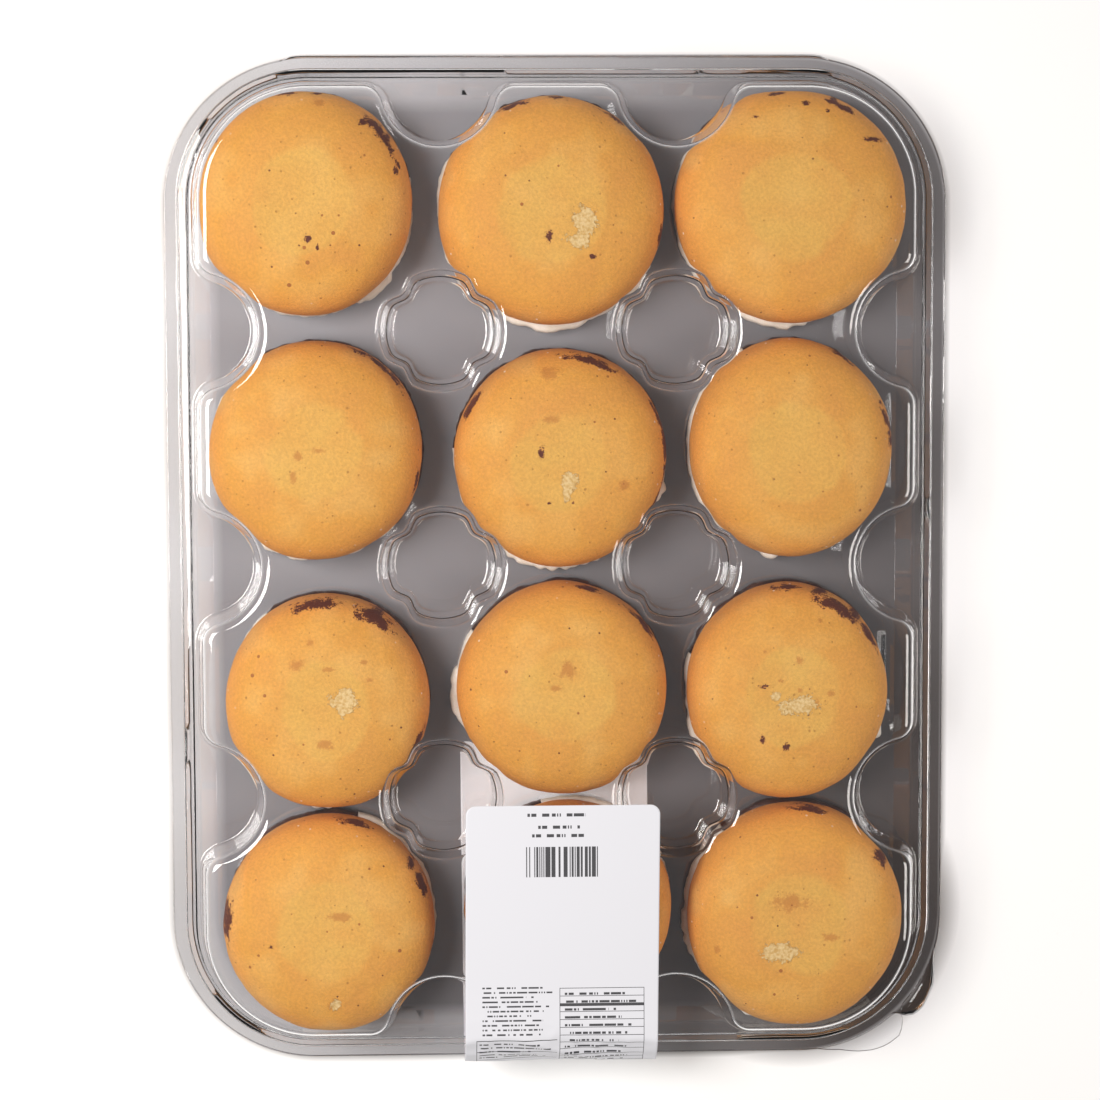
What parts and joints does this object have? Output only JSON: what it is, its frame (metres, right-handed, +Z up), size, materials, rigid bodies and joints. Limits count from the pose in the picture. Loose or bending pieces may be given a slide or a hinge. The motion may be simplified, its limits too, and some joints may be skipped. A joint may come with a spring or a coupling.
{
  "type": "box of half-moon cookies",
  "caption": "Shut clear clamshell tray of round half-moon cookies with two-colour icing, sealed by a wrapped paper label and lying on its lid.",
  "frame": {"origin": "under the middle of the whole box, on the surface that it lies on", "axes": "+Z up, from the lid's flat panel to the tray's base panel; +Y towards the hinge; +X towards the side with the finger tabs"},
  "size_m": [0.2546, 0.3301, 0.0336],
  "materials": {
    "clear_plastic": "clear thermoformed PET sheet, glossy, faintly grey",
    "label_paper": "coated white label paper, satin",
    "golden_cake": "baked sponge crust, matt, fine pores",
    "chocolate_icing": "dark chocolate icing, soft sheen",
    "vanilla_icing": "white vanilla icing, soft sheen"
  },
  "bodies": {
    "root": {"tray": "clear_plastic", "lid": "clear_plastic", "label": "label_paper", "cake_r1c1": "golden_cake", "chocolate_r1c1": "chocolate_icing", "vanilla_r1c1": "vanilla_icing", "cake_r1c2": "golden_cake", "chocolate_r1c2": "chocolate_icing", "vanilla_r1c2": "vanilla_icing", "cake_r1c3": "golden_cake", "chocolate_r1c3": "chocolate_icing", "vanilla_r1c3": "vanilla_icing", "cake_r2c1": "golden_cake", "chocolate_r2c1": "chocolate_icing", "vanilla_r2c1": "vanilla_icing", "cake_r2c2": "golden_cake", "chocolate_r2c2": "chocolate_icing", "vanilla_r2c2": "vanilla_icing", "cake_r2c3": "golden_cake", "chocolate_r2c3": "chocolate_icing", "vanilla_r2c3": "vanilla_icing", "cake_r3c1": "golden_cake", "chocolate_r3c1": "chocolate_icing", "vanilla_r3c1": "vanilla_icing", "cake_r3c2": "golden_cake", "chocolate_r3c2": "chocolate_icing", "vanilla_r3c2": "vanilla_icing", "cake_r3c3": "golden_cake", "chocolate_r3c3": "chocolate_icing", "vanilla_r3c3": "vanilla_icing", "cake_r4c1": "golden_cake", "chocolate_r4c1": "chocolate_icing", "vanilla_r4c1": "vanilla_icing", "cake_r4c2": "golden_cake", "chocolate_r4c2": "chocolate_icing", "vanilla_r4c2": "vanilla_icing", "cake_r4c3": "golden_cake", "chocolate_r4c3": "chocolate_icing", "vanilla_r4c3": "vanilla_icing"}
  },
  "joints": []
}
